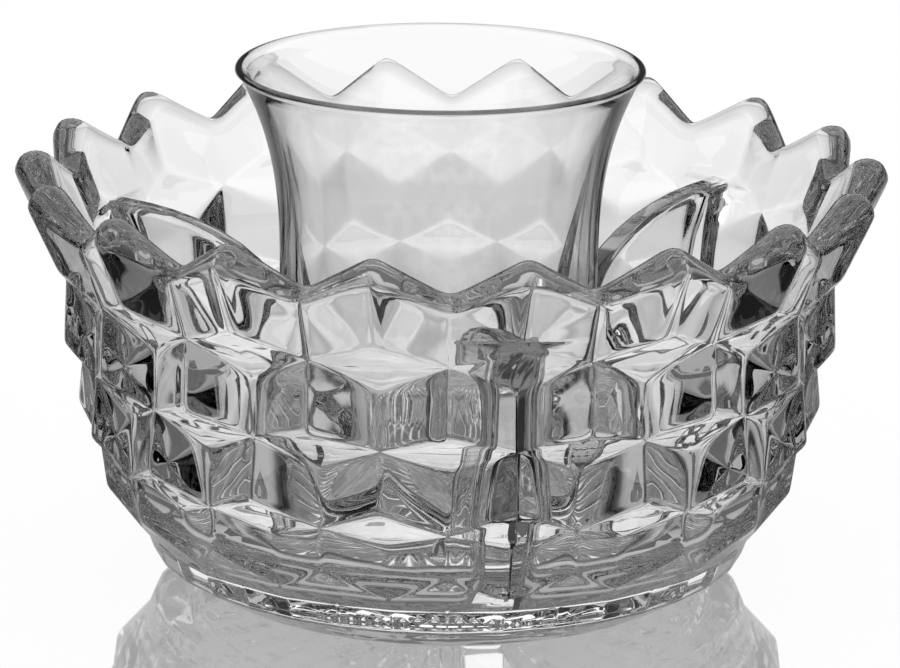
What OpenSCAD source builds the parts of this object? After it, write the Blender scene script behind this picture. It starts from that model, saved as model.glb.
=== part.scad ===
// Ice dish: a heavy pressed glass bowl with a stacked cube relief, and a blown glass liner inside it.
// The origin is the middle of the foot, on the surface that it stands on. +Z is up and -Y is the front.
// Each row of cubes has upright ridges and grooves, and ends in a ledge that faces down and inwards.
// A ridge of one row stands over a groove of the next, so the ledges are rhombi.

/* [Dish] */
// Diameter across the rim's points
rim_d = 140; // [120:1:180]
// Number of rim points, and of cubes in a row
cube_count = 18; // [12:1:24]
// Angle of the first rim point from the front
first_point_angle = 10; // [0:1:20]
// Wall thickness at the rim's points
rim_t = 7.3; // [5:0.1:9]
// How far the rim's dips lie below its points
rim_dip = 5.7; // [2:0.1:9]
// How far the rim's dips lie inside its points
rim_dip_in = 4.8; // [3:0.1:6]
// Least thickness of the wall, behind the back corners of the ledges
wall_t = 3.9; // [3:0.1:6]
// Thickness of the floor over the tread
floor_t = 10; // [7:0.5:12]
// Width of the rounding between the floor and the wall
heel_w = 16; // [8:0.5:20]

/* [Cube rows, from the top] */
// Height of each row's ridges and the ledge above them
row_h = [14.1, 14.6, 12.6, 11.5]; // [10:0.1:18]
// How far the foot of each row's ridges lies inside the one above
row_in = [5, 2.6, 2.2, 4.4]; // [1:0.1:6]
// Height of each ledge, from its front corner to its back corner
ledge_h = [8.3, 6.7, 6.7, 7.1]; // [4:0.1:9]
// Depth of each ledge, from its front corner to its back corner
ledge_in = [6.1, 4.8, 6.1, 6.4]; // [3:0.1:7]
// How far the side corners of each ledge lie below its front corner
ledge_side_h = [3.3, 2.9, 4.1, 4.6]; // [1:0.1:6]
// How far the side corners of each ledge lie inside its front corner
ledge_side_in = [3.1, 3.3, 3.5, 4.2]; // [1:0.1:5]

/* [Foot] */
// Height from the tread to the lowest cubes
foot_h = 8.8; // [6:0.1:12]
// Height of the foot's upright side
foot_side_h = 4.1; // [2:0.1:5]
// How far the foot's side draws in over its height
foot_side_in = 1.5; // [0.5:0.1:3]
// Diameter of the tread
tread_d = 80; // [60:0.2:84]
// Width of the tread
tread_w = 3.4; // [2:0.1:6]
// Depth of the hollow inside the tread
hollow_h = 1.6; // [1:0.1:2.5]
// Number of rays cut in the underside
ray_count = 36; // [12:1:48]
// Depth of a ray
ray_h = 0.8; // [0.4:0.1:1.5]
// Width of a ray
ray_w = 2.2; // [1:0.1:3]
// Radius at which the rays begin
ray_start_r = 14; // [13:0.5:24]
// Gap between the ends of the rays and the tread
ray_end_gap = 1.2; // [0.5:0.1:4]

/* [Lugs that hold the liner] */
// Number of lugs
lug_count = 3; // [2:1:4]
// Thickness of a lug at its top
lug_t = 4.6; // [3:0.1:7]
// Thickness of a lug at the floor
lug_foot_t = 7.2; // [3:0.1:9]
// Height of a lug's top above the tread, where it meets the wall
lug_top_z = 56; // [48:0.5:60]
// Height at which a lug's inner edge begins to curve back to the wall
lug_curve_z = 38; // [28:0.5:44]
// Gap between a lug and a liner that stands in the middle
lug_gap = 3; // [2.2:0.1:5]

/* [Liner] */
// Diameter of the liner's body, halfway up
liner_d = 51; // [44:0.5:56]
// Height of the liner
liner_h = 73.3; // [60:0.5:90]
// How far the lip flares out from the body
flare_w = 7.1; // [3:0.1:10]
// Height over which the lip flares
flare_h = 33.3; // [20:0.5:45]
// How much the body narrows from there down to the base
taper_w = 1; // [0:0.1:3]
// Thickness of the liner's wall at the lip
liner_wall_t = 1.3; // [1:0.1:2]
// Thickness of the liner's wall at the foot
liner_foot_wall_t = 4.3; // [1.5:0.1:5]
// Thickness of the liner's base
liner_base_t = 4; // [2:0.1:8]
// Radius of the liner's lower edge
liner_edge_r = 5; // [3:0.1:8]
// How far the liner stands to the left of the middle
liner_shift = 1.9; // [0:0.1:2]

/* [Hidden] */
$fn = 96;

rim_r = rim_d / 2;
pitch = 360 / cube_count;
row_count = len(row_h);
tread_r = tread_d / 2;

// Sum of the first n numbers of a list
function total(list, n) = n == 0 ? 0 : list[n - 1] + total(list, n - 1);

dish_h = foot_h + ledge_h[row_count - 1] + total(row_h, row_count);

// Front, side and back corners of a ledge, each as [radius, height]
function ledge_front(k) = [rim_r - total(row_in, k + 1), dish_h - total(row_h, k + 1)];
function ledge_side(k) = ledge_front(k) - [ledge_side_in[k], ledge_side_h[k]];
function ledge_back(k) = ledge_front(k) - [ledge_in[k], ledge_h[k]];

foot_top = ledge_back(row_count - 1);
foot_bottom = foot_top - [foot_side_in, foot_side_h];

// The cavity is one smooth bowl inside the back corners of the ledges
cavity_rim = [rim_r - rim_t, dish_h - rim_t / 2];
cavity_waist = ledge_back(0) - [wall_t, 0];
cavity_heel = ledge_back(row_count - 2) - [wall_t, 0];
curve_step = 10;
// How far each cutter runs past the glass
over = 6;

// Cavity radius at a height between its waist and above its rim
cavity_slope = (cavity_rim[0] - cavity_waist[0]) / (cavity_rim[1] - cavity_waist[1]);
function cavity_r(z) = cavity_waist[0] + cavity_slope * (z - cavity_waist[1]);

// The rounding between the cavity's floor and its wall, from the floor up, a depth inside the glass
function heel_line(depth) =
    let (
        heel_h = cavity_heel[1] - floor_t,
        center_r = cavity_heel[0] - heel_w
    )
    [
        for (a = [0:curve_step:90])
            [center_r + heel_w * sin(a), floor_t + heel_h * (1 - cos(a))] + depth * [sin(a), -cos(a)]
    ];

// The outside is a stack of lines round the dish. Each line has a corner [radius, height] at the
// columns of the rim's points, and another at the columns of its dips
function column_pair(k, ridge, groove) = k % 2 == 0 ? [ridge, groove] : [groove, ridge];
ledge_lines = [
    for (k = [row_count - 1:-1:0], corner = [ledge_back(k), ledge_front(k)])
        column_pair(k, corner, ledge_side(k))
];

// The rim is rounded over: a half circle from its outer edge to its inner one
rim_dip_r = rim_r - rim_dip_in;
dip_rim_z = dish_h - rim_dip;
inner_lap = 0.3;
dip_t = rim_dip_r - cavity_r(dip_rim_z) + inner_lap;
point_t = rim_t + inner_lap;
rim_angles = [0:30:180];
function rim_spot(outer_r, crest_z, t, a) =
    [outer_r - t / 2 * (1 - cos(a)), crest_z - t / 2 * (1 - sin(a))];
rim_lines = [
    for (a = rim_angles)
        [rim_spot(rim_r, dish_h, point_t, a), rim_spot(rim_dip_r, dip_rim_z, dip_t, a)]
];
inside_lap = [cavity_waist[0] - wall_t, cavity_waist[1]];

foot_lines = [for (corner = [[tread_r, 0], foot_bottom, foot_top]) [corner, corner]];
lines = concat(
    foot_lines,
    ledge_lines,
    rim_lines,
    [[inside_lap, inside_lap]]
);

// Places between a point column and a dip column, as a share of the way. The rim's height follows
// its own share, so that its points and dips are rounded
shares = [0, 0.22, 0.78];
rim_shares = [0, 0.17, 0.83];
side_count = len(shares);
slot_count = 2 * side_count * cube_count;

function at_angle(spot, angle) = [spot[0] * sin(angle), -spot[0] * cos(angle), spot[1]];
function slot_spot(line, slot, is_rim) =
    let (
        side = floor(slot / side_count),
        share = slot % side_count,
        angle = first_point_angle + side * pitch / 2,
        from = line[side % 2],
        to = line[1 - side % 2],
        t = shares[share],
        tz = is_rim ? rim_shares[share] : t,
        flat = at_angle(from, angle) * (1 - t) + at_angle(to, angle + pitch / 2) * t
    )
    [flat[0], flat[1], from[1] * (1 - tz) + to[1] * tz];

first_rim_line = len(foot_lines) + len(ledge_lines);
function is_rim_line(i) = i >= first_rim_line && i < len(lines) - 1;

// Two lines meet at every second column, where they share one corner
same_spot = 0.001;
function meets_below(i, slot) =
    i > 0 && slot % side_count == 0
    && norm(lines[i][floor(slot / side_count) % 2] - lines[i - 1][floor(slot / side_count) % 2]) < same_spot;
function corner_id(i, slot) =
    let (s = slot % slot_count)
    (meets_below(i, s) ? i - 1 : i) * slot_count + s;

// Two triangles between lines i and i + 1, without those that have no width. The diagonal leans
// towards the rim's points on one side of a column and away from them on the other
function cell_triangles(i, slot) =
    let (
        low_a = corner_id(i, slot),
        low_b = corner_id(i, slot + 1),
        high_a = corner_id(i + 1, slot),
        high_b = corner_id(i + 1, slot + 1),
        rising = floor(slot / side_count) % 2 == 0,
        pair = rising
            ? [[low_a, high_a, high_b], [low_a, high_b, low_b]]
            : [[low_a, high_a, low_b], [high_a, high_b, low_b]]
    )
    [for (tri = pair) if (tri[0] != tri[1] && tri[1] != tri[2] && tri[0] != tri[2]) tri];

module relief_solid() {
    last = len(lines) - 1;
    points = [
        for (i = [0:last], slot = [0:slot_count - 1])
            slot_spot(lines[i], slot, is_rim_line(i))
    ];
    sides = [for (i = [0:last - 1], slot = [0:slot_count - 1]) each cell_triangles(i, slot)];
    bottom = [for (slot = [0:slot_count - 1]) slot];
    top = [for (slot = [slot_count - 1:-1:0]) last * slot_count + slot];
    polyhedron(points = points, faces = concat(sides, [bottom, top]));
}

module cavity() {
    top_z = dish_h + over;
    top = [[cavity_r(top_z), top_z], [0, top_z]];
    rotate_extrude()
        polygon(concat([[0, floor_t]], heel_line(0), [cavity_waist], top));
}

// A lug is a thin radial plate that gets thicker downwards. Its inner edge is upright towards the
// liner and then curves back to the wall. Its root follows the cavity inside the glass
module lug() {
    inner_r = liner_d / 2 + lug_gap;
    root_depth = wall_t / 2;
    outer_r = cavity_r(lug_top_z) + root_depth;
    widest = lug_t + lug_foot_t;
    curve = [
        for (a = [0:curve_step:90])
            [outer_r - (outer_r - inner_r) * cos(a), lug_curve_z + (lug_top_z - lug_curve_z) * sin(a)]
    ];
    heel = heel_line(root_depth);
    in_heel = [for (i = [len(heel) - 1:-1:0]) if (heel[i][0] > inner_r) heel[i]];
    in_wall = concat([cavity_waist + [root_depth, 0]], in_heel);
    low_z = floor_t - 2 * root_depth;
    high_z = lug_top_z + over;
    function half_t(z) = lug_foot_t / 2 - (lug_foot_t - lug_t) / 2 * (z - floor_t) / (lug_top_z - floor_t);
    upright = [[-half_t(low_z), low_z], [half_t(low_z), low_z], [half_t(high_z), high_z], [-half_t(high_z), high_z]];
    intersection() {
        rotate([90, 0, 0])
            translate([0, 0, -widest / 2])
                linear_extrude(widest)
                    polygon(concat([[inner_r, floor_t - root_depth]], curve, in_wall));
        rotate([90, 0, 90])
            linear_extrude(outer_r + over)
                polygon(upright);
    }
}

module ray() {
    far_r = tread_r - tread_w - ray_end_gap;
    top_z = hollow_h + ray_h;
    translate([ray_start_r, 0, 0])
        rotate([90, 0, 90])
            linear_extrude(far_r - ray_start_r)
                polygon([[-ray_w / 2, 0], [ray_w / 2, 0], [ray_w / 2, hollow_h], [0, top_z], [-ray_w / 2, hollow_h]]);
}

module dish() color([0.86, 0.88, 0.89, 0.6]) {
    difference() {
        relief_solid();
        cavity();
        translate([0, 0, -over])
            cylinder(h = over + hollow_h, r = tread_r - tread_w);
        for (i = [0:ray_count - 1])
            rotate(i * 360 / ray_count)
                ray();
    }
    for (i = [0:lug_count - 1])
        rotate(first_point_angle - 90 + i * 360 / lug_count)
            lug();
}

// The lip flares slowly at first: its radius grows with this power of the height
flare_power = 2.7;

// Outer radius of the liner at height h over its base
function liner_r(h) =
    let (
        flare_start = liner_h - flare_h,
        up = max(0, (h - flare_start) / flare_h),
        down = max(0, (flare_start - h) / flare_start)
    )
    liner_d / 2 + flare_w * pow(up, flare_power) - taper_w * down;

// Thickness of the liner's wall at height h over its base
function liner_wall(h) = liner_foot_wall_t + (liner_wall_t - liner_foot_wall_t) * h / liner_h;

module liner() {
    // Height between two of the corners that the wall's profile is drawn with
    step = 3;
    // The corner inside the base is never sharper than this
    least_edge_r = 1;
    bead_r = liner_wall_t / 2;
    outside_hs = [for (h = [liner_edge_r + step:step:liner_h - 2 * liner_wall_t]) h];
    edge_center = liner_r(liner_edge_r) - liner_edge_r;
    foot_wall = liner_wall(liner_edge_r);
    inner_edge_r = max(least_edge_r, liner_edge_r - foot_wall);
    inner_edge_center = liner_r(liner_edge_r) - foot_wall - inner_edge_r;
    edge = [
        for (a = [0:curve_step:90])
            [edge_center + liner_edge_r * sin(a), liner_edge_r * (1 - cos(a))]
    ];
    inside_edge = [
        for (a = [90:-curve_step:0])
            [inner_edge_center + inner_edge_r * sin(a), liner_base_t + inner_edge_r * (1 - cos(a))]
    ];
    inside_hs = [for (h = outside_hs) if (h > liner_base_t + inner_edge_r + step / 2) h];
    bead_center = [liner_r(liner_h) - bead_r, liner_h - bead_r];
    bead = [for (a = [0:30:180]) bead_center + bead_r * [cos(a), sin(a)]];
    outside = [for (h = outside_hs) [liner_r(h), h]];
    inside = [for (i = [len(inside_hs) - 1:-1:0]) [liner_r(inside_hs[i]) - liner_wall(inside_hs[i]), inside_hs[i]]];
    color([0.93, 0.95, 0.96, 0.4])
        translate([-liner_shift, 0, floor_t])
            rotate_extrude()
                polygon(concat([[0, 0]], edge, outside, bead, inside, inside_edge, [[0, liner_base_t]]));
}

dish();
liner();
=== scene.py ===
import math

import bpy
import numpy as np
from mathutils import Matrix, Vector


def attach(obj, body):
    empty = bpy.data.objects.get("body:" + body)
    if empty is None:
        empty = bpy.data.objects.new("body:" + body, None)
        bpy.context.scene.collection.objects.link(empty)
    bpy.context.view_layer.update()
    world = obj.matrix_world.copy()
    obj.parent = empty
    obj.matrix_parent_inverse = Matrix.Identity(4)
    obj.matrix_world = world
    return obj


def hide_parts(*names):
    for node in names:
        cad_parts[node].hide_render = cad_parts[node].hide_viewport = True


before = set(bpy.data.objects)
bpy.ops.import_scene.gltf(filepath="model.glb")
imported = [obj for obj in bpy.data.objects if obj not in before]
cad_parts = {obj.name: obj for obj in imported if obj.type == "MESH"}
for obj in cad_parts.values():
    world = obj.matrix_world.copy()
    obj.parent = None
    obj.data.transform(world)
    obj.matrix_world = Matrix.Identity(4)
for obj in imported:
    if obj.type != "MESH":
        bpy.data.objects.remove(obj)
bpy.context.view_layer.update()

# Sizes are in millimetres, as in the part's source, and meshes are written in metres.
MM = 0.001

# Dish
RIM_R = 70.0
CUBE_COUNT = 18
FIRST_POINT_ANGLE = 10.0
RIM_T = 7.3
RIM_DIP = 5.7
RIM_DIP_IN = 4.8
WALL_T = 3.9
FLOOR_T = 10.0
HEEL_W = 16.0

# Cube rows, from the top
ROW_H = [14.1, 14.6, 12.6, 11.5]
ROW_IN = [5.0, 2.6, 2.2, 4.4]
LEDGE_H = [8.3, 6.7, 6.7, 7.1]
LEDGE_IN = [6.1, 4.8, 6.1, 6.4]
LEDGE_SIDE_H = [3.3, 2.9, 4.1, 4.6]
LEDGE_SIDE_IN = [3.1, 3.3, 3.5, 4.2]

# Foot
FOOT_H = 8.8
FOOT_SIDE_H = 4.1
FOOT_SIDE_IN = 1.5
TREAD_R = 40.0
TREAD_W = 3.4
HOLLOW_H = 1.6
RAY_H = 0.8
RAY_W = 2.2
RAY_START_R = 14.0
RAY_END_GAP = 1.2

# Lugs
LUG_ANGLES = [10.0, 130.0, 250.0]
LUG_T = 4.6
LUG_FOOT_T = 7.2
LUG_TOP_Z = 56.0
LUG_CURVE_Z = 38.0
LUG_INNER_R = 28.5
LUG_EDGE_R = 1.2
LUG_FILLET_R = 2.4

# Liner
LINER_R = 25.5
LINER_H = 73.3
FLARE_W = 7.1
FLARE_H = 33.3
FLARE_POWER = 2.7
TAPER_W = 1.0
LINER_WALL_T = 1.3
LINER_FOOT_WALL_T = 4.3
LINER_BASE_T = 4.0
LINER_EDGE_R = 5.0
LINER_SHIFT = 1.9

ROW_COUNT = len(ROW_H)
DISH_H = FOOT_H + LEDGE_H[-1] + sum(ROW_H)
SIDE_COUNT = 2 * CUBE_COUNT
SIDE_ANGLE = 360.0 / SIDE_COUNT

# Each side runs from a column of rim points to a column of rim dips, or back. These are the shares
# of a side at which the mesh has a vertex: close to the ends, where the glass is rounded
SHARES = np.array([0, 0.05, 0.12, 0.22, 0.36, 0.5, 0.64, 0.78, 0.88, 0.95])
STEPS = len(SHARES)
COLUMNS = SIDE_COUNT * STEPS

# The same upwards, as shares of a face, of a ledge and of a low band of the foot, and across the tread
FACE_ROWS = [0, 0.045, 0.11, 0.22, 0.40, 0.60, 0.78, 0.89, 0.955]
LEDGE_ROWS = [0, 0.06, 0.15, 0.27, 0.42, 0.58, 0.73, 0.85, 0.94]
SMALL_ROWS = [0, 0.1, 0.3, 0.7, 0.9]
TREAD_ROWS = [0.12, 0.35, 0.65, 0.88]

# Degrees between the lines of a rounded edge and of a rounded corner inside a vessel
EDGE_STEP = 15
HEEL_STEP = 9

# Lines under the base, in its plain middle and along its rays. A ray covers RAY_STEPS steps on each
# side of its column and rises over RAY_END_SOFT at both ends. Other lines keep the hollow's edge crisp
BASE_MIDDLE_RADII = [0.0, 4.0, 9.0, 13.0]
BASE_RAY_RADII = [15.5, 18.0, 21.0, 24.0, 27.0, 30.0, 32.5]
RAY_STEPS = 3
RAY_END_SOFT = 0.5
HOLLOW_EDGE_SOFT = 0.4

# Shares of the way from the rim to the first level line, heights of the level lines, which are close
# together where the lugs begin, and radii on the floor of the dish
RIM_TO_LEVEL = [0.05, 0.14, 0.3, 0.55, 0.8]
FIRST_LEVEL_Z = LUG_TOP_Z + 1.2
CONE_LEVELS = [56.2, 55.97, 55.9, 55.7, 55.3, 54.6, 53.5, 52.0, 50.0, 47.8]
LOWER_LEVELS = [46.3, 44.5, 42.5, 40.0, 38.0, 35.0, 31.0, 27.0, 23.5]
FLOOR_RADII = [24.0, 17.0, 9.0, 3.0, 0.0]

# Where no part of a lug is left, its inner edge is put this far out, outside the wall
NO_LUG_R = 1000.0

# How strongly a point is drawn to its neighbours when edges are rounded, by the number of columns or
# rows between it and the edge. The rim and the foot have a highest weight, and two inner edges their own
RELAX_ROUNDS = 6
COLUMN_WEIGHTS = np.array([0.5, 0.45, 0.3, 0.1, 0, 0])
ROW_WEIGHTS = [0.5, 0.45, 0.3, 0.1]
RIM_WEIGHT_MAX = 0.3
FOOT_WEIGHT_MAX = 0.12
RIM_INNER_WEIGHT = 0.5
TREAD_INNER_WEIGHT = 0.35

# The glass, and the depth and scale of its faint waves, in metres and per metre
GLASS_IOR = 1.52
PRESSED_WAVES = (0.00025, 75.0)
BLOWN_WAVES = (0.00001, 60.0)


def ledge_front(k):
    return np.array([RIM_R - sum(ROW_IN[: k + 1]), DISH_H - sum(ROW_H[: k + 1])])


def ledge_side(k):
    return ledge_front(k) - [LEDGE_SIDE_IN[k], LEDGE_SIDE_H[k]]


def ledge_back(k):
    return ledge_front(k) - [LEDGE_IN[k], LEDGE_H[k]]


FOOT_TOP = ledge_back(ROW_COUNT - 1)
FOOT_BOTTOM = FOOT_TOP - [FOOT_SIDE_IN, FOOT_SIDE_H]
CAVITY_RIM = np.array([RIM_R - RIM_T, DISH_H - RIM_T / 2])
CAVITY_WAIST = ledge_back(0) - [WALL_T, 0]
CAVITY_HEEL = ledge_back(ROW_COUNT - 2) - [WALL_T, 0]
CAVITY_SLOPE = (CAVITY_RIM[0] - CAVITY_WAIST[0]) / (CAVITY_RIM[1] - CAVITY_WAIST[1])


def cone_r(z):
    """Radius of the upper cone of the cavity, above its waist."""
    return CAVITY_WAIST[0] + CAVITY_SLOPE * (z - CAVITY_WAIST[1])


def around(angle):
    """Unit vector from the middle, at an angle from the front towards the right."""
    a = np.radians(angle)
    return np.stack([np.sin(a), -np.cos(a)], axis=-1)


def ring(radius, angle, z):
    """Points at these radii, angles and heights."""
    out = np.zeros((len(angle), 3))
    out[:, :2] = around(angle) * np.broadcast_to(radius, angle.shape)[:, None]
    out[:, 2] = z
    return out


COLUMN_SIDE = np.repeat(np.arange(SIDE_COUNT), STEPS)
COLUMN_SHARE = np.tile(SHARES, SIDE_COUNT)
START_ANGLE = FIRST_POINT_ANGLE + COLUMN_SIDE * SIDE_ANGLE
EVEN_ANGLES = FIRST_POINT_ANGLE + np.arange(COLUMNS) * (360.0 / COLUMNS)


def corner_ring(point_corner, dip_corner):
    """A line round the dish, straight between a corner at each point and one at each dip."""
    first = np.where((COLUMN_SIDE % 2 == 0)[:, None], point_corner, dip_corner)
    second = np.where((COLUMN_SIDE % 2 == 0)[:, None], dip_corner, point_corner)
    t = COLUMN_SHARE[:, None]
    a = around(START_ANGLE) * first[:, :1]
    b = around(START_ANGLE + SIDE_ANGLE) * second[:, :1]
    return np.hstack([a * (1 - t) + b * t, first[:, 1:] * (1 - t) + second[:, 1:] * t])


def to_dip():
    """Share of the way from the nearest point column to the nearest dip column."""
    return np.where(COLUMN_SIDE % 2 == 0, COLUMN_SHARE, 1 - COLUMN_SHARE)


def rounded_fall(t):
    """From 0 at a rim point to 1 at a rim dip: straight in between and rounded at both ends."""
    bend, drop = 0.22, 0.17
    slope = (1 - 2 * drop) / (1 - 2 * bend)

    def end(s):
        u = np.clip(s / bend, 0, 1)
        return drop * (3 * u**2 - 2 * u**3) + slope * bend * (u**3 - u**2)

    middle = drop + slope * (t - bend)
    return np.where(t < bend, end(t), np.where(t > 1 - bend, 1 - end(1 - t), middle))


def rows_between(low, high, shares):
    """Lines from low up to, but without, high."""
    return [low * (1 - v) + high * v for v in shares]


def ledge_lines(k):
    """A ledge is one curved patch with four corners: front, two sides and back."""
    front, side, back = ledge_front(k), ledge_side(k), ledge_back(k)
    ridge_side = k % 2
    t = np.where(COLUMN_SIDE % 2 == ridge_side, COLUMN_SHARE, 1 - COLUMN_SHARE)
    ridge = np.where(COLUMN_SIDE % 2 == ridge_side, START_ANGLE, START_ANGLE + SIDE_ANGLE)
    ahead = np.where(COLUMN_SIDE % 2 == ridge_side, 1.0, -1.0)

    def spot(corner, angle):
        out = np.zeros((COLUMNS, 3))
        out[:, :2] = around(angle) * corner[0]
        out[:, 2] = corner[1]
        return out

    f, b = spot(front, ridge), spot(back, ridge)
    near, far = spot(side, ridge + ahead * SIDE_ANGLE), spot(side, ridge - ahead * SIDE_ANGLE)
    lines = []
    for v in LEDGE_ROWS:
        p = (v * t + (1 - v))[:, None]
        q = ((1 - v) * (1 - t))[:, None]
        lines.append((1 - p) * (1 - q) * f + p * (1 - q) * near + (1 - p) * q * far + p * q * b)
    return lines


def underside():
    """From the middle of the base out to the tread, with a ray under each column."""
    inner_r = TREAD_R - TREAD_W
    ray_end_r = inner_r - RAY_END_GAP
    ray_soft = RAY_END_SOFT
    radii = BASE_MIDDLE_RADII + [RAY_START_R, RAY_START_R + ray_soft / 2, RAY_START_R + ray_soft]
    radii += BASE_RAY_RADII
    radii += [ray_end_r - ray_soft, ray_end_r - ray_soft / 2, ray_end_r, inner_r - HOLLOW_EDGE_SOFT]
    half = RAY_W / 2
    land_steps = STEPS // 2 - RAY_STEPS
    place = np.arange(COLUMNS) % STEPS
    turn = np.where(place <= STEPS // 2, place, place - STEPS)
    ray_angle = START_ANGLE + np.where(place <= STEPS // 2, 0, SIDE_ANGLE)
    lines = []
    for r in radii:
        in_ray = np.abs(turn) <= RAY_STEPS
        across = half * turn / RAY_STEPS
        if r < RAY_START_R:
            angle = ray_angle + turn * SIDE_ANGLE / STEPS
            lines.append(ring(r, angle, HOLLOW_H))
            continue
        edge = np.degrees(np.arcsin(half / r))
        land = edge + (SIDE_ANGLE / 2 - edge) * (np.abs(turn) - RAY_STEPS) / land_steps
        angle = np.where(in_ray, np.degrees(np.arcsin(across / r)), np.sign(turn) * land)
        depth = RAY_H * min(1.0, max(0.0, min(r - RAY_START_R, ray_end_r - r) / ray_soft))
        z = HOLLOW_H + depth * np.clip(1 - np.abs(across) / half, 0, 1) * in_ray
        lines.append(ring(r, ray_angle + angle, z))
    side = START_ANGLE + COLUMN_SHARE * SIDE_ANGLE
    for z in (HOLLOW_H, HOLLOW_H - HOLLOW_EDGE_SOFT, HOLLOW_EDGE_SOFT, 0.0):
        lines.append(ring(inner_r, side, z))
    for v in TREAD_ROWS:
        lines.append(ring(inner_r, side, 0.0) * (1 - v) + corner_ring([TREAD_R, 0], [TREAD_R, 0]) * v)
    return lines


def outside():
    """From the tread up to the outer edge of the rim, and over the rim to its inner edge."""
    tread = corner_ring([TREAD_R, 0], [TREAD_R, 0])
    foot_bottom = corner_ring(FOOT_BOTTOM, FOOT_BOTTOM)
    foot_top = corner_ring(FOOT_TOP, FOOT_TOP)
    lines = rows_between(tread, foot_bottom, SMALL_ROWS)
    lines += rows_between(foot_bottom, foot_top, SMALL_ROWS)
    below = foot_top
    for k in range(ROW_COUNT - 1, -1, -1):
        side, front, back = ledge_side(k), ledge_front(k), ledge_back(k)
        back_line = corner_ring(back, side) if k % 2 == 0 else corner_ring(side, back)
        front_line = corner_ring(front, side) if k % 2 == 0 else corner_ring(side, front)
        lines += rows_between(below, back_line, SMALL_ROWS if k == ROW_COUNT - 1 else FACE_ROWS)
        lines += ledge_lines(k)
        below = front_line
    edge = corner_ring([RIM_R, 0], [RIM_R - RIM_DIP_IN, 0])
    edge_r = np.hypot(edge[:, 0], edge[:, 1])
    crest = DISH_H - RIM_DIP * rounded_fall(to_dip())
    thick = (edge_r - cone_r(crest)) / (1 - CAVITY_SLOPE / 2)
    outer = edge.copy()
    outer[:, 2] = crest - thick / 2
    lines += rows_between(below, outer, FACE_ROWS)
    for a in np.radians(np.arange(0, 181, EDGE_STEP)):
        line = edge.copy()
        line[:, :2] *= ((edge_r - thick / 2 * (1 - np.cos(a))) / edge_r)[:, None]
        line[:, 2] = crest - thick / 2 * (1 - np.sin(a))
        lines.append(line)
    return lines


def lug_tip_r(z, inset):
    """Radius of a lug's inner edge at a height, with its profile moved into the glass by inset."""
    root_r = cone_r(LUG_TOP_Z) + WALL_T / 2
    wide, high = root_r - LUG_INNER_R, LUG_TOP_Z - LUG_CURVE_Z
    a = np.radians(np.linspace(0, 90, 181))
    nr, nz = np.cos(a) / wide, -np.sin(a) / high
    size = np.hypot(nr, nz)
    curve_r = root_r - wide * np.cos(a) + inset * nr / size
    curve_z = LUG_CURVE_Z + high * np.sin(a) + inset * nz / size
    if z <= LUG_CURVE_Z:
        return LUG_INNER_R + inset
    return float(np.interp(z, curve_z, curve_r, right=NO_LUG_R))


def wall_line(wall_r, z):
    """A level line on the inside of the wall, and round the three lugs, which get thicker downwards."""
    edge_shares = (0.5, 0.87)
    flank_shares = (0.88, 0.12)
    fillet_share = 0.3
    line = ring(wall_r, EVEN_ANGLES, z)
    half = float(np.interp(z, [FLOOR_T, LUG_TOP_Z], [LUG_FOOT_T / 2, LUG_T / 2]))
    flat = half - LUG_EDGE_R
    tip_across = [0.0, flat] + [flat + LUG_EDGE_R * v for v in edge_shares] + [half]
    for lug_angle in LUG_ANGLES:
        forward = around(np.array([lug_angle]))[0]
        sideways = around(np.array([lug_angle + 90]))[0]
        middle = int(round((lug_angle - FIRST_POINT_ANGLE) / 360.0 * COLUMNS))
        reach = []
        for across in tip_across:
            inset = LUG_EDGE_R - math.sqrt(max(0.0, LUG_EDGE_R**2 - max(0.0, across - flat) ** 2))
            at_wall = math.sqrt(wall_r**2 - across**2)
            reach.append(max(0.0, at_wall - lug_tip_r(z, inset)))
        flank = reach[-1]
        fillet = min(LUG_FILLET_R, flank / 2)
        spots = list(zip(tip_across, reach))
        spots += [(half, fillet + (flank - fillet) * v) for v in flank_shares]
        spots.append((half, fillet))
        spots.append((half + fillet * fillet_share, fillet * fillet_share))
        spots.append((half + fillet, 0.0))
        for turn, (across, out) in enumerate(spots):
            for sign in (1, -1):
                u = math.sqrt(wall_r**2 - across**2) - out
                column = (middle + sign * turn) % COLUMNS
                line[column, :2] = forward * u + sideways * sign * across
    return line


def inside(rim_line):
    """From the inner edge of the rim down the wall, round the heel and to the middle of the floor."""
    lines = []
    top_z = FIRST_LEVEL_Z
    level = wall_line(cone_r(top_z), top_z)
    edge_angle = np.unwrap(np.arctan2(rim_line[:, 0], -rim_line[:, 1]))
    level_angle = np.unwrap(np.arctan2(level[:, 0], -level[:, 1]))
    level_angle += 2 * math.pi * np.round((edge_angle[0] - level_angle[0]) / (2 * math.pi))
    for v in RIM_TO_LEVEL:
        z = rim_line[:, 2] * (1 - v) + top_z * v
        angle = np.degrees(edge_angle * (1 - v) + level_angle * v)
        lines.append(ring(cone_r(z), angle, z))
    for z in [top_z] + CONE_LEVELS:
        lines.append(wall_line(cone_r(z), z))
    waist, heel = CAVITY_WAIST, CAVITY_HEEL
    for z in LOWER_LEVELS:
        share = (waist[1] - z) / (waist[1] - heel[1])
        lines.append(wall_line(waist[0] + (heel[0] - waist[0]) * share, z))
    for a in np.radians(np.arange(90, -1, -HEEL_STEP)):
        z = FLOOR_T + (heel[1] - FLOOR_T) * (1 - math.cos(a))
        lines.append(wall_line(heel[0] - HEEL_W * (1 - math.sin(a)), z))
    for r in FLOOR_RADII:
        lines.append(ring(r, EVEN_ANGLES, FLOOR_T))
    return lines


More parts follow.
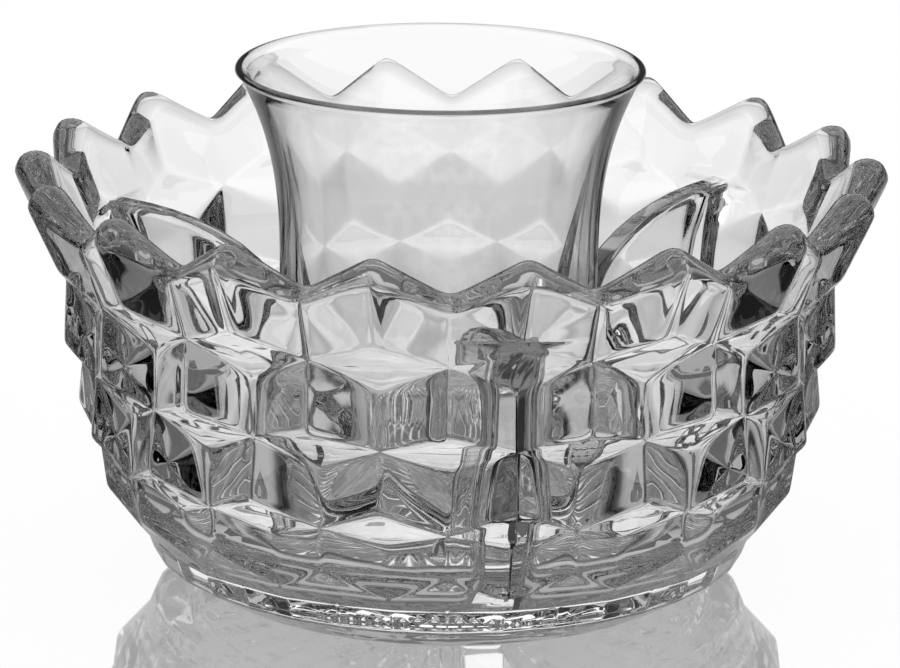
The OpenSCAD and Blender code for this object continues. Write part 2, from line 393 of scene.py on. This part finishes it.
def merged_mesh(grid):
    """Vertices and faces of a closed grid of lines, with points that coincide merged."""
    rows, columns = grid.shape[:2]
    flat = grid.reshape(-1, 3)
    key = np.round(flat, 4)
    _, first, index = np.unique(key, axis=0, return_index=True, return_inverse=True)
    index = index.reshape(rows, columns)
    low, high = index[:-1], index[1:]
    quads = np.stack([low, np.roll(low, -1, 1), np.roll(high, -1, 1), high], -1).reshape(-1, 4)
    faces = []
    for quad in quads.tolist():
        corners = [c for i, c in enumerate(quad) if c != quad[i - 1]]
        if len(set(corners)) == len(corners) >= 3:
            faces.append(corners)
    return flat[first], faces, index


def relax(points, faces, weight, rounds):
    """Moves each point towards the middle of its neighbours, by its weight, a few times."""
    pairs = set()
    for face in faces:
        for i, c in enumerate(face):
            pairs.add((min(c, face[i - 1]), max(c, face[i - 1])))
    pairs = np.array(sorted(pairs))
    count = np.bincount(pairs.ravel(), minlength=len(points))[:, None]
    for _ in range(rounds):
        total = np.zeros_like(points)
        np.add.at(total, pairs[:, 0], points[pairs[:, 1]])
        np.add.at(total, pairs[:, 1], points[pairs[:, 0]])
        points = points + weight[:, None] * (total / np.maximum(count, 1) - points)
    return points


def new_object(name, points, faces, material):
    mesh = bpy.data.meshes.new(name)
    mesh.from_pydata((points * MM).tolist(), [], faces)
    mesh.polygons.foreach_set("use_smooth", [True] * len(mesh.polygons))
    mesh.materials.append(material)
    mesh.update()
    obj = bpy.data.objects.new(name, mesh)
    bpy.context.scene.collection.objects.link(obj)
    return obj


def glass(name, wave_depth, wave_scale):
    """Clear lead glass. Its nodes give the faint waves that pressing or blowing leaves."""
    mat = bpy.data.materials.new(name)
    mat.use_nodes = True
    nodes, links = mat.node_tree.nodes, mat.node_tree.links
    shader = nodes["Principled BSDF"]
    shader.inputs["Base Color"].default_value = (1, 1, 1, 1)
    shader.inputs["Roughness"].default_value = 0.0
    shader.inputs["IOR"].default_value = GLASS_IOR
    shader.inputs["Transmission Weight"].default_value = 1.0
    place = nodes.new("ShaderNodeTexCoord")
    waves = nodes.new("ShaderNodeTexNoise")
    waves.inputs["Scale"].default_value = wave_scale
    waves.inputs["Detail"].default_value = 1.0
    bump = nodes.new("ShaderNodeBump")
    bump.inputs["Strength"].default_value = 1.0
    bump.inputs["Distance"].default_value = wave_depth
    links.new(place.outputs["Object"], waves.inputs["Vector"])
    links.new(waves.outputs["Fac"], bump.inputs["Height"])
    links.new(bump.outputs["Normal"], shader.inputs["Normal"])
    return mat


def build_dish():
    base = underside()
    relief = outside()
    lines = base + relief + inside(relief[-1])
    grid = np.array(lines)
    points, faces, index = merged_mesh(grid)
    near = np.minimum(np.arange(STEPS), STEPS - np.arange(STEPS))
    by_column = COLUMN_WEIGHTS[near]
    weight_grid = np.zeros(grid.shape[:2])
    start = len(base)
    foot_rows = len(SMALL_ROWS)
    stops = [start, start + foot_rows, start + 2 * foot_rows, start + 3 * foot_rows]
    for _ in range(ROW_COUNT - 1):
        stops.append(stops[-1] + len(LEDGE_ROWS))
        stops.append(stops[-1] + len(FACE_ROWS))
    stops.append(stops[-1] + len(LEDGE_ROWS))
    stops.append(stops[-1] + len(FACE_ROWS))
    for row in range(start + foot_rows, stops[-1]):
        weight_grid[row] = np.maximum(weight_grid[row], np.tile(by_column, SIDE_COUNT))
    for stop in stops:
        for off, value in enumerate(ROW_WEIGHTS):
            for row in (stop - off, stop + off):
                weight_grid[row] = np.maximum(weight_grid[row], value)
    weight_grid[stops[-1] :] = np.minimum(weight_grid[stops[-1] :], RIM_WEIGHT_MAX)
    foot_end = start + 2 * foot_rows + 2
    weight_grid[:foot_end] = np.minimum(weight_grid[:foot_end], FOOT_WEIGHT_MAX)
    inner_edge = start + len(relief) - 1
    weight_grid[inner_edge - 1 : inner_edge + 2] = RIM_INNER_WEIGHT
    tread_inner = start - len(TREAD_ROWS) - 1
    weight_grid[tread_inner - 3 : tread_inner + 2] = TREAD_INNER_WEIGHT
    weight = np.zeros(len(points))
    np.maximum.at(weight, index.ravel(), weight_grid.ravel())
    points = relax(points, faces, weight, RELAX_ROUNDS)
    return new_object("dish_glass", points, faces, glass("pressed_glass", *PRESSED_WAVES))


def liner_r(h):
    flare_start = LINER_H - FLARE_H
    up = max(0.0, (h - flare_start) / FLARE_H)
    down = max(0.0, (flare_start - h) / flare_start)
    return LINER_R + FLARE_W * up**FLARE_POWER - TAPER_W * down


def liner_wall(h):
    """The wall gets thicker towards the foot."""
    return LINER_FOOT_WALL_T + (LINER_WALL_T - LINER_FOOT_WALL_T) * h / LINER_H


def build_liner():
    """A turned profile, from the middle of the foot up the outside, over the lip and down inside."""
    bead_r = LINER_WALL_T / 2
    contact_gap = 0.05
    push_up = 0.5
    base_dip = 0.1
    edge_gap = 1.5
    inner_edge_gap = 1
    wall_lines = 44
    turn_step = 2.0
    edge_center = liner_r(LINER_EDGE_R) - LINER_EDGE_R
    inner_edge_r = LINER_EDGE_R - liner_wall(LINER_EDGE_R)
    profile = [(0.0, push_up), (5.0, push_up * 0.9), (11.0, push_up * 0.5), (17.0, 0.12)]
    for a in np.radians(np.arange(0, 91, HEEL_STEP)):
        z = contact_gap + LINER_EDGE_R * (1 - math.cos(a))
        profile.append((edge_center + LINER_EDGE_R * math.sin(a), z))
    heights = np.linspace(LINER_EDGE_R + edge_gap, LINER_H - LINER_WALL_T, wall_lines)
    profile += [(liner_r(h), h) for h in heights]
    center = (liner_r(LINER_H) - bead_r, LINER_H - bead_r)
    for a in np.radians(np.arange(0, 181, EDGE_STEP)):
        profile.append((center[0] + bead_r * math.cos(a), center[1] + bead_r * math.sin(a)))
    for h in heights[::-1]:
        if h > LINER_BASE_T + inner_edge_r + inner_edge_gap:
            profile.append((liner_r(h) - liner_wall(h), h))
    for a in np.radians(np.arange(90, -1, -HEEL_STEP)):
        z = LINER_BASE_T + inner_edge_r * (1 - math.cos(a))
        profile.append((edge_center + inner_edge_r * math.sin(a), z))
    profile += [(r, LINER_BASE_T - base_dip) for r in (15.0, 8.0, 0.0)]
    angles = np.arange(0, 360, turn_step)
    grid = np.array([ring(r, angles, h + FLOOR_T) for r, h in profile])
    grid[..., 0] -= LINER_SHIFT
    points, faces, _ = merged_mesh(grid)
    return new_object("liner_glass", points, faces, glass("blown_glass", *BLOWN_WAVES))


dish = build_dish()
liner = build_liner()
for piece, node in ((dish, "dish"), (liner, "liner")):
    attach(piece, "root")
    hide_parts(node)


# The studio that is seen through the glass, as stops of (value, level), where a level of 1 is the
# white that the camera sees. It differs by how often the light was reflected inside the glass:
# never (clear), once, or more often. A height is the upward part of a direction, from 0 to 1. A place
# or direction in front of the dish is at 0 and one behind it at 1, and beside it lies in between.
# A radius is a distance on the sheet from the middle of the dish, in metres.
LEVEL_TOP = 1.2
LOW_HEIGHT = 0.34
WORLD_CLEAR_BY_HEIGHT = [(0, 0.85), (0.1, 0.95), (0.27, 1.0), (0.29, 0.35), (0.5, 0.35), (0.52, 1.2)]
WORLD_ONCE_HIGH = 1.2
WORLD_ONCE_LOW_BY_SIDE = [(0, 1), (0.14, 1), (0.16, 0), (0.84, 0), (0.86, 0.1), (1, 0.1)]
WORLD_OFTEN_HIGH_BY_HEIGHT = [(0.34, 0), (0.69, 0.02), (0.71, 0.5), (0.86, 0.5), (0.88, 0)]
WORLD_OFTEN_LOW_BY_SIDE = [(0, 0), (0.84, 0), (0.86, 0.4), (1, 0.4)]

# The sheet's levels are painted light and shade on a glowing sheet. For light that was never reflected
# they are a painted shadow: dark under the foot's tread, grey under the base and close round the foot,
# pale from 70 mm on, with one greyer band at about 115 mm. For light that the glass reflected, the sheet
# is painted dark nearly everywhere, with brighter painted rings within about 125 mm of the middle, and
# is paler only from about 100 mm behind the dish.
SHEET_BESIDE_FROM = 0.25
SHEET_BEHIND_FROM = 0.75
SHEET_CLEAR_PAINTED_SHADE_BY_RADIUS = [
    (0.036, 0.22),
    (0.038, 0.01),
    (0.041, 0.01),
    (0.044, 0.5),
    (0.058, 0.5),
    (0.07, 0.85),
    (0.1, 0.85),
    (0.115, 0.55),
    (0.13, 0.7),
    (0.2, 0.84),
    (0.3, 0.93),
    (0.5, 0.95),
]
SHEET_ONCE_AHEAD_BY_RADIUS = [
    (0.034, 0.1),
    (0.036, 0.35),
    (0.054, 0.55),
    (0.056, 0.1),
    (0.07, 0.1),
    (0.072, 0.55),
    (0.084, 0.5),
    (0.086, 0.01),
    (0.1, 0),
]
SHEET_ONCE_BESIDE_BY_RADIUS = [
    (0.034, 0.1),
    (0.036, 0.35),
    (0.055, 0.5),
    (0.07, 0.4),
    (0.072, 0.13),
    (0.084, 0.13),
    (0.086, 0.34),
    (0.1, 0.2),
    (0.122, 0.15),
    (0.124, 0),
    (0.2, 0),
]
SHEET_ONCE_BEHIND_BY_RADIUS = [(0.08, 0.02), (0.1, 0.3), (0.2, 0.5)]
SHEET_OFTEN_BY_RADIUS = [
    (0.03, 0.2),
    (0.04, 0.2),
    (0.042, 0.05),
    (0.054, 0.05),
    (0.056, 0.4),
    (0.069, 0.4),
    (0.071, 0.03),
    (0.1, 0),
]

# Painted streaks of light under the base: where they are strong, by radius, and how much brighter and
# how sharp they are
STREAK_BY_RADIUS = [(0.013, 0), (0.015, 1), (0.034, 1), (0.036, 0)]
STREAK_GAIN = 4.0
STREAK_POWER = 3.0

# The sheet as the camera sees it: half its side in metres, how much of it shines with its own even
# white and takes no shadow, and its gloss, which grows as the sheet is met at a flatter angle
SHEET_HALF = 6.0
SHEET_GLOW_SHARE = 0.8
SHEET_GLOSS_ROUGHNESS = 0.03
SHEET_GLOSS_POWER = 1.15


def add_math(nodes, links, operation, first, second=0.0):
    """The result of a maths node. Each value is a number or another node's output."""
    node = nodes.new("ShaderNodeMath")
    node.operation = operation
    for i, value in enumerate((first, second)):
        if isinstance(value, (int, float)):
            node.inputs[i].default_value = value
        else:
            links.new(value, node.inputs[i])
    return node.outputs["Value"]


def add_ramp(nodes, links, value, stops):
    """Level of a value, straight between stops given as (value, level), at most LEVEL_TOP."""
    low, high = stops[0][0], stops[-1][0]
    share = nodes.new("ShaderNodeMapRange")
    share.inputs["From Min"].default_value = low
    share.inputs["From Max"].default_value = high
    links.new(value, share.inputs["Value"])
    ramp = nodes.new("ShaderNodeValToRGB")
    elements = ramp.color_ramp.elements
    elements.remove(elements[-1])
    for i, (at, level) in enumerate(stops):
        position = (at - low) / (high - low)
        grey = level / LEVEL_TOP
        element = elements[0] if i == 0 else elements.new(position)
        element.position = position
        element.color = (grey, grey, grey, 1)
    links.new(share.outputs["Result"], ramp.inputs["Fac"])
    return add_math(nodes, links, "MULTIPLY", ramp.outputs["Color"], LEVEL_TOP)


def pick(nodes, links, switch, if_off, if_on):
    """One of two levels, by a switch that is 0 or 1."""
    node = nodes.new("ShaderNodeMix")
    links.new(switch, node.inputs["Factor"])
    for name, value in (("A", if_off), ("B", if_on)):
        if isinstance(value, (int, float)):
            node.inputs[name].default_value = value
        else:
            links.new(value, node.inputs[name])
    return node.outputs["Result"]


def pick_above(nodes, links, value, limit, if_below, if_above):
    """One of two levels, by whether a value is above a limit."""
    is_above = add_math(nodes, links, "GREATER_THAN", value, limit)
    return pick(nodes, links, is_above, if_below, if_above)


def pick_by_reflections(nodes, links, path, clear, once, often):
    """The level for light that the glass reflected never, once, or more often."""
    count = path.outputs["Glossy Depth"]
    level = pick_above(nodes, links, count, 0.5, clear, once)
    return pick_above(nodes, links, count, 1.5, level, often)


def add_side(nodes, links, split):
    """0 in front of the dish and 1 behind it, from the direction or the place in a split vector."""
    x, y = split.outputs["X"], split.outputs["Y"]
    across = add_math(nodes, links, "MULTIPLY", x, x)
    along = add_math(nodes, links, "MULTIPLY", y, y)
    length = add_math(nodes, links, "SQRT", add_math(nodes, links, "ADD", across, along))
    side = nodes.new("ShaderNodeMapRange")
    side.inputs["From Min"].default_value = -1.0
    links.new(add_math(nodes, links, "DIVIDE", y, length), side.inputs["Value"])
    return side.outputs["Result"]


def build_world():
    """Plain white for the camera and for all that is matte. Through the glass it is a studio: bright
    low down and overhead and grey in between, and mostly darker for light that the glass reflected."""
    world = bpy.data.worlds.new("studio")
    bpy.context.scene.world = world
    world.use_nodes = True
    nodes, links = world.node_tree.nodes, world.node_tree.links
    path = nodes.new("ShaderNodeLightPath")
    place = nodes.new("ShaderNodeTexCoord")
    split = nodes.new("ShaderNodeSeparateXYZ")
    links.new(place.outputs["Generated"], split.inputs["Vector"])
    height = split.outputs["Z"]
    side = add_side(nodes, links, split)
    clear = add_ramp(nodes, links, height, WORLD_CLEAR_BY_HEIGHT)
    once_low = add_ramp(nodes, links, side, WORLD_ONCE_LOW_BY_SIDE)
    once = pick_above(nodes, links, height, LOW_HEIGHT, once_low, WORLD_ONCE_HIGH)
    often_low = add_ramp(nodes, links, side, WORLD_OFTEN_LOW_BY_SIDE)
    often_high = add_ramp(nodes, links, height, WORLD_OFTEN_HIGH_BY_HEIGHT)
    often = pick_above(nodes, links, height, LOW_HEIGHT, often_low, often_high)
    level = pick_by_reflections(nodes, links, path, clear, once, often)
    level = pick(nodes, links, path.outputs["Is Singular Ray"], 1.0, level)
    links.new(level, nodes["Background"].inputs["Color"])


def add_painted_streaks(nodes, links, split, radius):
    """A factor for the sheet's level: painted streaks of light under the base, where its rays would
    gather the light.
    """
    angle = add_math(nodes, links, "ARCTAN2", split.outputs["Y"], split.outputs["X"])
    phase = add_math(nodes, links, "MULTIPLY", angle, float(SIDE_COUNT))
    wave = add_math(nodes, links, "COSINE", add_math(nodes, links, "ADD", phase, math.pi))
    crest = add_math(nodes, links, "MAXIMUM", wave, 0.0)
    streak = add_math(nodes, links, "POWER", crest, STREAK_POWER)
    strength = add_ramp(nodes, links, radius, STREAK_BY_RADIUS)
    gain = add_math(nodes, links, "MULTIPLY", strength, STREAK_GAIN)
    return add_math(nodes, links, "ADD", 1.0, add_math(nodes, links, "MULTIPLY", streak, gain))


def build_sheet_painted_level(nodes, links, path):
    """The sheet's painted shade and light through the glass, by its distance from the middle of the dish
    and its side.
    """
    place = nodes.new("ShaderNodeNewGeometry")
    split = nodes.new("ShaderNodeSeparateXYZ")
    links.new(place.outputs["Position"], split.inputs["Vector"])
    distance = nodes.new("ShaderNodeVectorMath")
    distance.operation = "LENGTH"
    links.new(place.outputs["Position"], distance.inputs[0])
    radius = distance.outputs["Value"]
    side = add_side(nodes, links, split)
    clear = add_ramp(nodes, links, radius, SHEET_CLEAR_PAINTED_SHADE_BY_RADIUS)
    clear = add_math(nodes, links, "MULTIPLY", clear, add_painted_streaks(nodes, links, split, radius))
    ahead = add_ramp(nodes, links, radius, SHEET_ONCE_AHEAD_BY_RADIUS)
    beside = add_ramp(nodes, links, radius, SHEET_ONCE_BESIDE_BY_RADIUS)
    behind = add_ramp(nodes, links, radius, SHEET_ONCE_BEHIND_BY_RADIUS)
    once = pick_above(nodes, links, side, SHEET_BESIDE_FROM, ahead, beside)
    once = pick_above(nodes, links, side, SHEET_BEHIND_FROM, once, behind)
    often = add_ramp(nodes, links, radius, SHEET_OFTEN_BY_RADIUS)
    return pick_by_reflections(nodes, links, path, clear, once, often)


def build_floor():
    """A white glossy sheet. The camera and matte light see it plain white, with a soft mirror image.
    Light through the glass sees it glow at painted levels instead: a painted shadow round the dish, and
    painted rings and streaks of light."""
    low, high = -SHEET_HALF, SHEET_HALF
    corners = [(low, low, 0), (high, low, 0), (high, high, 0), (low, high, 0)]
    mesh = bpy.data.meshes.new("floor")
    mesh.from_pydata(corners, [], [(0, 1, 2, 3)])
    floor = bpy.data.objects.new("floor", mesh)
    bpy.context.scene.collection.objects.link(floor)
    mat = bpy.data.materials.new("white_sheet")
    mat.use_nodes = True
    nodes, links = mat.node_tree.nodes, mat.node_tree.links
    nodes.remove(nodes["Principled BSDF"])
    path = nodes.new("ShaderNodeLightPath")
    through = nodes.new("ShaderNodeEmission")
    links.new(build_sheet_painted_level(nodes, links, path), through.inputs["Strength"])
    matte = nodes.new("ShaderNodeBsdfDiffuse")
    matte.inputs["Color"].default_value = (1, 1, 1, 1)
    white = nodes.new("ShaderNodeEmission")
    base = nodes.new("ShaderNodeMixShader")
    base.inputs["Fac"].default_value = SHEET_GLOW_SHARE
    links.new(matte.outputs["BSDF"], base.inputs[1])
    links.new(white.outputs["Emission"], base.inputs[2])
    gloss = nodes.new("ShaderNodeBsdfGlossy")
    gloss.inputs["Color"].default_value = (1, 1, 1, 1)
    gloss.inputs["Roughness"].default_value = SHEET_GLOSS_ROUGHNESS
    facing = nodes.new("ShaderNodeLayerWeight")
    share = add_math(nodes, links, "POWER", facing.outputs["Facing"], SHEET_GLOSS_POWER)
    plain = nodes.new("ShaderNodeMixShader")
    links.new(share, plain.inputs["Fac"])
    links.new(base.outputs["Shader"], plain.inputs[1])
    links.new(gloss.outputs["BSDF"], plain.inputs[2])
    camera_ray, diffuse_ray = path.outputs["Is Camera Ray"], path.outputs["Is Diffuse Ray"]
    direct = add_math(nodes, links, "MAXIMUM", camera_ray, diffuse_ray)
    both = nodes.new("ShaderNodeMixShader")
    links.new(direct, both.inputs["Fac"])
    links.new(through.outputs["Emission"], both.inputs[1])
    links.new(plain.outputs["Shader"], both.inputs[2])
    links.new(both.outputs["Shader"], nodes["Material Output"].inputs["Surface"])
    mesh.materials.append(mat)


build_world()
build_floor()

# The camera stands where the photo's rims, corners and foot line up with the model's
camera_data = bpy.data.cameras.new("camera")
camera_data.lens = 188.6
camera_data.sensor_width = 36.0
camera_data.clip_start = 0.05
camera = bpy.data.objects.new("camera", camera_data)
eye, target = Vector((0, -0.7304, 0.2458)), Vector((0, 0, 0.039))
roll = math.radians(0.55)
aim = (target - eye).to_track_quat("-Z", "Y").to_matrix().to_4x4()
camera.matrix_world = Matrix.Translation(eye) @ aim @ Matrix.Rotation(roll, 4, "Z")
bpy.context.scene.collection.objects.link(camera)
bpy.context.scene.camera = camera

# Light is reflected many times inside cut glass, so its paths are longer than the default allows
BOUNCES = 32
light_paths = bpy.context.scene.cycles
light_paths.max_bounces = BOUNCES
light_paths.transmission_bounces = BOUNCES
light_paths.glossy_bounces = BOUNCES
bpy.context.scene.view_settings.view_transform = "Standard"
